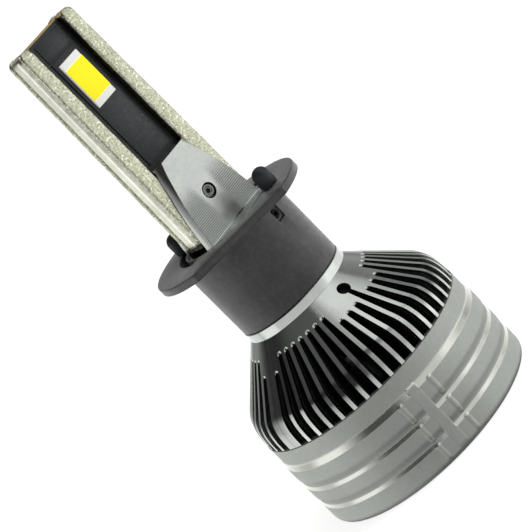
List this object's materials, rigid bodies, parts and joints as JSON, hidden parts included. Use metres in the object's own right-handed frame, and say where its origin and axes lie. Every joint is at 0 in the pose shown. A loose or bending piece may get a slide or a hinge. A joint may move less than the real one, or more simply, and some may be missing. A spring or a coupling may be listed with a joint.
{
  "type": "headlight bulb",
  "caption": "LED headlight bulb on a pre-focus flange, with a flat plated arm, a turnable collar, a slotted aluminium heat sink and a rear fan.",
  "frame": {"origin": "centre of the rear rim, on the bulb's own axis, where the bulb stands", "axes": "+Z runs along the bulb's axis from the rear rim to the LED tip, and the front LED faces -Y"},
  "size_m": [0.0328, 0.0328, 0.0708],
  "materials": {
    "rear_shell": "satin, fine grain",
    "heatsink_front": "turned and machined",
    "heatsink_rear": "turned and machined",
    "clamp_screw_front": "zinc plated",
    "clamp_screw_rear": "zinc plated",
    "core_tray_front": "nickel plated copper, rough",
    "core_tray_rear": "nickel plated copper, rough",
    "heat_pipe_left": "nickel plated copper, smooth",
    "heat_pipe_right": "nickel plated copper, smooth",
    "led_board_front": "black solder mask, semi gloss",
    "led_board_rear": "black solder mask, semi gloss",
    "led_chip_front": "matt white",
    "led_chip_rear": "matt white",
    "led_phosphor_front": "silicone with yellow phosphor",
    "led_phosphor_rear": "silicone with yellow phosphor",
    "led_cable_front": "insulated wire",
    "led_cable_rear": "insulated wire",
    "mount_collar": "dark satin anodised",
    "collar_set_screw": "black oxide",
    "collar_stud_left": "matt black",
    "collar_stud_right": "matt black",
    "collar_o_ring": "matt black",
    "fan_frame": "black moulded",
    "fan_rotor": "black moulded",
    "fan_magnet": "ferrite",
    "fan_shaft": "ground",
    "fan_bearing": "sintered bronze",
    "fan_stator_core": "laminated",
    "fan_coil_1": "enamelled copper wire",
    "fan_coil_2": "enamelled copper wire",
    "fan_coil_3": "enamelled copper wire",
    "fan_coil_4": "enamelled copper wire",
    "fan_circuit_board": "green solder mask",
    "driver_board": "green solder mask",
    "driver_inductor": "ferrite ring",
    "driver_capacitor": "bare can",
    "driver_chip": "moulded",
    "driver_diode": "moulded",
    "rear_grille": "black moulded",
    "grille_screw_1": "zinc plated",
    "grille_screw_2": "zinc plated",
    "grille_screw_3": "zinc plated",
    "cable_gland": "matt black"
  },
  "bodies": {
    "bulb": {"rear_shell": "rear_shell", "heatsink_front": "heatsink_front", "heatsink_rear": "heatsink_rear", "clamp_screw_front": "clamp_screw_front", "clamp_screw_rear": "clamp_screw_rear", "core_tray_front": "core_tray_front", "core_tray_rear": "core_tray_rear", "heat_pipe_left": "heat_pipe_left", "heat_pipe_right": "heat_pipe_right", "led_board_front": "led_board_front", "led_board_rear": "led_board_rear", "led_chip_front": "led_chip_front", "led_chip_rear": "led_chip_rear", "led_phosphor_front": "led_phosphor_front", "led_phosphor_rear": "led_phosphor_rear", "led_cable_front": "led_cable_front", "led_cable_rear": "led_cable_rear", "collar_o_ring": "collar_o_ring", "fan_frame": "fan_frame", "fan_bearing": "fan_bearing", "fan_stator_core": "fan_stator_core", "fan_coil_1": "fan_coil_1", "fan_coil_2": "fan_coil_2", "fan_coil_3": "fan_coil_3", "fan_coil_4": "fan_coil_4", "fan_circuit_board": "fan_circuit_board", "driver_board": "driver_board", "driver_inductor": "driver_inductor", "driver_capacitor": "driver_capacitor", "driver_chip": "driver_chip", "driver_diode": "driver_diode", "rear_grille": "rear_grille", "grille_screw_1": "grille_screw_1", "grille_screw_2": "grille_screw_2", "grille_screw_3": "grille_screw_3", "cable_gland": "cable_gland"},
    "collar": {"mount_collar": "mount_collar", "collar_stud_left": "collar_stud_left", "collar_stud_right": "collar_stud_right"},
    "set_screw": {"collar_set_screw": "collar_set_screw"},
    "rotor": {"fan_rotor": "fan_rotor", "fan_magnet": "fan_magnet", "fan_shaft": "fan_shaft"}
  },
  "joints": [
    {"name": "collar_turn", "type": "hinge", "parent": "bulb", "child": "collar", "pos_m": [0, 0, 0.0319], "axis": [0, 0, 1], "continuous": true},
    {"name": "set_screw_out", "type": "slide", "parent": "collar", "child": "set_screw", "axis": [0.1908, -0.9816, 0], "range_m": [0, 0.0012]},
    {"name": "fan_spin", "type": "hinge", "parent": "bulb", "child": "rotor", "pos_m": [0, 0, 0.0055], "axis": [0, 0, 1], "continuous": true}
  ]
}
